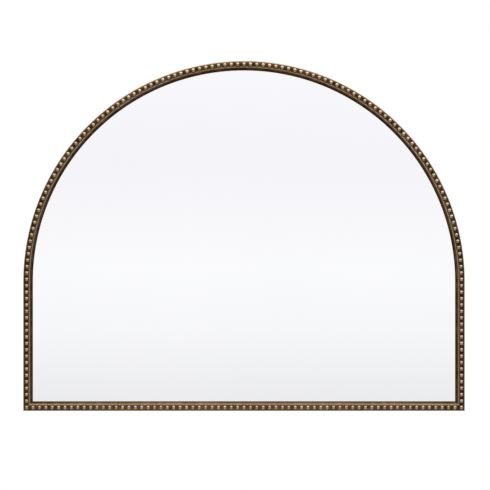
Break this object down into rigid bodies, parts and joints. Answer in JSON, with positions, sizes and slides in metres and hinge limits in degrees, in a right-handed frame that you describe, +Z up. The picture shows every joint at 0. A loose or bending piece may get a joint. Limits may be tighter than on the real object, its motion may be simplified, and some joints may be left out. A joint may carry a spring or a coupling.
{
  "type": "arched wall mirror",
  "caption": "Arched wall mirror: flat silvered glass in a slim bronze metal frame edged with a row of beads, on a backing board with hinged D-ring hangers.",
  "frame": {"origin": "on the wall plane, midway between the two wall hooks, at the height where the hanger rings bear on them", "axes": "+X to the right as one faces the mirror, +Y from the mirror into the wall, +Z up; the glass faces -Y"},
  "size_m": [0.965, 0.0288, 0.765],
  "materials": {
    "bronze_frame": "antique bronze lacquer on steel, dark in the recesses, rubbed lighter along the raised rim",
    "bronze_beads": "antique bronze, rubbed through to a paler gold on the crowns",
    "silvered_glass": "clear float glass, silvered on its back",
    "foam_tape": "closed-cell foam",
    "painted_board": "fibreboard, rolled matt black paint",
    "zinc_steel": "bright zinc plating",
    "black_rubber": "moulded, matt"
  },
  "bodies": {
    "mirror": {"frame_arch_rail": "bronze_frame", "frame_bottom_rail": "bronze_frame", "arch_beads": "bronze_beads", "left_jamb_beads": "bronze_beads", "right_jamb_beads": "bronze_beads", "bottom_beads": "bronze_beads", "corner_beads": "bronze_beads", "mirror_glass": "silvered_glass", "mounting_tape": "foam_tape", "backing_board": "painted_board", "retaining_tabs": "bronze_frame", "tab_screws": "zinc_steel", "left_hanger_strap": "zinc_steel", "right_hanger_strap": "zinc_steel", "hanger_screws": "zinc_steel", "wall_bumpers": "black_rubber"},
    "left_ring": {"left_hanger_ring": "zinc_steel"},
    "right_ring": {"right_hanger_ring": "zinc_steel"}
  },
  "joints": [
    {"name": "left_ring_swing", "type": "hinge", "parent": "mirror", "child": "left_ring", "pos_m": [-0.28, -0.00517, -0.017], "axis": [1, 0, 0], "range_deg": [0, 176.85]},
    {"name": "right_ring_swing", "type": "hinge", "parent": "mirror", "child": "right_ring", "pos_m": [0.28, -0.00517, -0.017], "axis": [1, 0, 0], "range_deg": [0, 176.85]}
  ]
}
